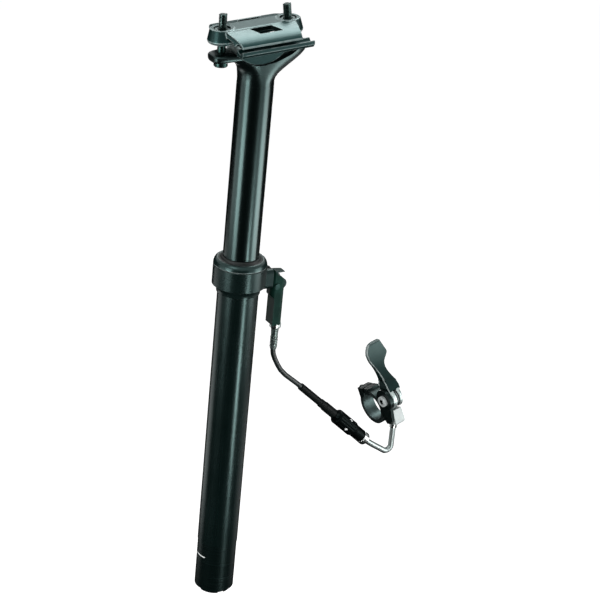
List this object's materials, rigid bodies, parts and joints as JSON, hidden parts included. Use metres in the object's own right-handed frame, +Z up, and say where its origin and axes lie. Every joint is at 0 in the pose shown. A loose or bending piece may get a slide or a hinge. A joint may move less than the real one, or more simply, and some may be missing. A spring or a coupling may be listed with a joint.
{
  "type": "dropper seatpost",
  "caption": "Telescoping bicycle seatpost: a stanchion with a two-bolt saddle clamp slides in an outer tube, released by a handlebar lever through a cable.",
  "frame": {"origin": "on the post's axis at the lower face of the collar, where the frame's seat tube ends", "axes": "+Z up the post towards the saddle, +X towards the cable side, +Y to the left of +X seen from above"},
  "size_m": [0.1986, 0.0664, 0.4716],
  "materials": {
    "anodised_black": "satin black anodise",
    "stanchion_black": "gloss black anodise",
    "forged_black": "fine satin black",
    "grey_plate": "satin grey",
    "black_steel": "blackened",
    "bright_steel": "bright",
    "housing_plastic": "matt moulded",
    "black_rubber": "matt",
    "slide_polymer": "smooth",
    "key_brass": "machined",
    "gas_alloy": "machined"
  },
  "bodies": {
    "base": {"outer_tube": "anodised_black", "lower_cap": "anodised_black", "collar": "anodised_black", "collar_ring": "anodised_black", "wiper_seal": "black_rubber", "upper_bushing": "slide_polymer", "bottom_bumper": "black_rubber", "gas_rod": "bright_steel", "gas_piston": "gas_alloy", "actuator_housing": "housing_plastic", "crank_pin": "black_steel", "lock_screw": "black_steel", "cable_ferrule": "bright_steel", "cable_boot": "black_rubber", "cable_housing": "black_rubber", "end_sleeve": "black_rubber", "adjuster_boot": "black_rubber", "adjuster_stud": "bright_steel", "noodle": "bright_steel", "cable_stop": "bright_steel", "remote_bracket": "forged_black", "clamp_screw": "bright_steel", "lever_bolt": "bright_steel", "lever_nut": "black_steel", "lever_spring": "bright_steel", "plunger_spring": "bright_steel"},
    "stanchion": {"stanchion": "stanchion_black", "gas_cylinder": "gas_alloy", "gas_gland": "gas_alloy", "top_bumper": "black_rubber", "lower_bushing": "slide_polymer", "key_1": "key_brass", "key_2": "key_brass", "key_3": "key_brass", "rear_bolt": "black_steel", "front_bolt": "black_steel", "rear_washer": "bright_steel", "front_washer": "bright_steel"},
    "clamp": {"lower_cradle": "forged_black", "top_clamp": "grey_plate"},
    "rear_nut": {"rear_nut": "black_steel"},
    "front_nut": {"front_nut": "black_steel"},
    "lever": {"lever": "forged_black"},
    "crank": {"crank": "forged_black"},
    "wire": {"inner_wire": "bright_steel"},
    "plunger": {"brake_plunger": "key_brass"},
    "adjuster": {"barrel_adjuster": "forged_black"}
  },
  "joints": [
    {"name": "stanchion_slide", "type": "slide", "parent": "base", "child": "stanchion", "axis": [0, 0, 1], "range_m": [-0.125, 0], "stiffness_N_per_m": 400, "springref_m": 0.5},
    {"name": "saddle_tilt", "type": "hinge", "parent": "stanchion", "child": "clamp", "pos_m": [-0.00364, 0, 0.20183], "axis": [0, 1, 0], "range_deg": [-8, 8]},
    {"name": "rear_nut_turn", "type": "hinge", "parent": "clamp", "child": "rear_nut", "pos_m": [-0.02932, 0, 0.19935], "axis": [0, 1, 0], "range_deg": [-8, 8]},
    {"name": "front_nut_turn", "type": "hinge", "parent": "clamp", "child": "front_nut", "pos_m": [0.02204, 0, 0.2043], "axis": [0, 1, 0], "range_deg": [-8, 8]},
    {"name": "lever_press", "type": "hinge", "parent": "base", "child": "lever", "pos_m": [0.14731, 0.00237, -0.11373], "axis": [-0.9583, -0.1518, -0.2419], "range_deg": [0, 16], "stiffness_Nm_per_rad": 1.5, "springref_deg": -5.73},
    {"name": "crank_turn", "type": "hinge", "parent": "base", "child": "crank", "pos_m": [0.03, 0, 0.0015], "axis": [0, 1, 0], "range_deg": [0, 23]},
    {"name": "wire_pull", "type": "slide", "parent": "base", "child": "wire", "axis": [0, 0, -1], "range_m": [0, 0.00179]},
    {"name": "plunger_slide", "type": "slide", "parent": "base", "child": "plunger", "axis": [1, 0, 0], "range_m": [0, 0.00261], "deforming": ["plunger_spring"]},
    {"name": "adjuster_turn", "type": "hinge", "parent": "base", "child": "adjuster", "pos_m": [0.062, 0, -0.08903], "axis": [0.7466, 0, -0.6652], "continuous": true}
  ],
  "couplings": [
    {"joint": "rear_nut_turn", "follows": "saddle_tilt", "ratio": -1},
    {"joint": "front_nut_turn", "follows": "saddle_tilt", "ratio": -1},
    {"joint": "crank_turn", "follows": "lever_press", "ratio": 1.4375},
    {"joint": "wire_pull", "follows": "lever_press", "m_per_rad": 0.0064135},
    {"joint": "plunger_slide", "follows": "lever_press", "m_per_rad": 0.0093427}
  ]
}
